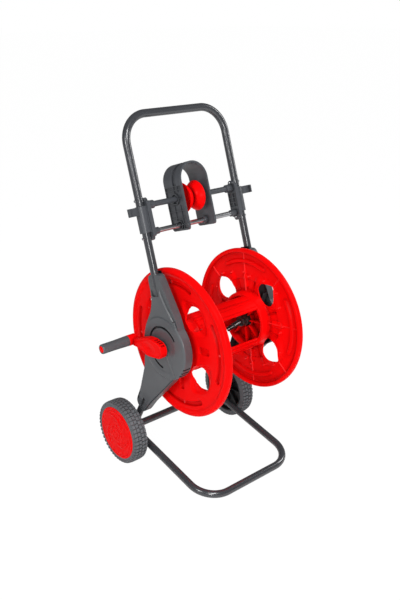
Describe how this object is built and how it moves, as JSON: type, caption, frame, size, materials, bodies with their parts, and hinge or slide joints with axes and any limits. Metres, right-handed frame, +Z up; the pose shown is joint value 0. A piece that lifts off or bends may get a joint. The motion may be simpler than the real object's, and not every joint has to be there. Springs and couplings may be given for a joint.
{
  "type": "garden hose reel cart",
  "caption": "Garden hose reel cart: a bent-tube frame on wheels with a crank-driven winding reel, a leaning push handle and a roller hose guide sliding on rods.",
  "frame": {"origin": "on the floor, under the middle of the front foot tube", "axes": "+X from the crank side to the water inlet side, +Y back from the foot tube to the wheels, +Z up"},
  "size_m": [0.5093, 0.4524, 0.962],
  "materials": {
    "tube": "satin dark grey powder coat",
    "plate": "fine-grained dark grey plastic",
    "fitting": "fine-grained darker grey plastic",
    "red": "glossy red plastic",
    "tyre": "matt grey plastic tread",
    "wheel": "matt black plastic",
    "steel": "zinc-plated steel",
    "black": "black plastic",
    "rubber": "black seal rubber"
  },
  "bodies": {
    "frame": {"axle_rod": "steel", "axle_tube": "tube", "base_tube": "tube", "handle_tube": "tube", "inlet_housing": "black", "inlet_nipple": "black", "inlet_seal": "rubber", "left_axle_retainer": "steel", "left_bearing_bush": "black", "left_clamp_plate": "fitting", "left_clamp_sleeve": "fitting", "left_leg_screw": "steel", "left_lower_clamp_nut": "steel", "left_lower_clamp_screw": "steel", "left_riser_screw": "steel", "left_side_plate": "plate", "left_upper_clamp_nut": "steel", "left_upper_clamp_screw": "steel", "left_wheel_spacer": "black", "lower_guide_rod": "steel", "right_axle_retainer": "steel", "right_bearing_bush": "black", "right_clamp_plate": "fitting", "right_clamp_sleeve": "fitting", "right_leg_screw": "steel", "right_lower_clamp_nut": "steel", "right_lower_clamp_screw": "steel", "right_riser_screw": "steel", "right_side_plate": "plate", "right_upper_clamp_nut": "steel", "right_upper_clamp_screw": "steel", "right_wheel_spacer": "black", "upper_guide_rod": "fitting"},
    "reel": {"left_flange": "red", "right_flange": "red", "drum_slat_1": "red", "drum_slat_2": "red", "drum_slat_3": "red", "crank_shaft": "black", "inlet_shaft": "black", "crank_screw": "steel", "hose_elbow": "black", "hose_nipple": "black", "crank_arm": "red", "crank_pin": "steel", "grip_cap": "red"},
    "grip": {"crank_grip": "plate"},
    "left_wheel": {"left_tyre": "tyre", "left_wheel_disc": "wheel", "left_hub_cap": "red"},
    "right_wheel": {"right_tyre": "tyre", "right_wheel_disc": "wheel", "right_hub_cap": "red"},
    "guide": {"hose_guide": "fitting"},
    "roller": {"guide_roller": "red"}
  },
  "joints": [
    {"name": "reel_spin", "type": "hinge", "parent": "frame", "child": "reel", "pos_m": [0, 0.1529, 0.3972], "axis": [1, 0, 0], "continuous": true},
    {"name": "grip_spin", "type": "hinge", "parent": "reel", "child": "grip", "pos_m": [-0.244, 0.2669, 0.3872], "axis": [1, 0, 0], "continuous": true},
    {"name": "left_wheel_spin", "type": "hinge", "parent": "frame", "child": "left_wheel", "pos_m": [-0.1995, 0.3163, 0.0914], "axis": [1, 0, 0], "continuous": true},
    {"name": "right_wheel_spin", "type": "hinge", "parent": "frame", "child": "right_wheel", "pos_m": [0.1995, 0.3163, 0.0914], "axis": [1, 0, 0], "continuous": true},
    {"name": "guide_slide", "type": "slide", "parent": "frame", "child": "guide", "axis": [1, 0, 0], "range_m": [-0.067, 0.078]},
    {"name": "roller_spin", "type": "hinge", "parent": "guide", "child": "roller", "pos_m": [-0.0055, 0.2505, 0.7415], "axis": [1, 0, 0], "continuous": true}
  ]
}
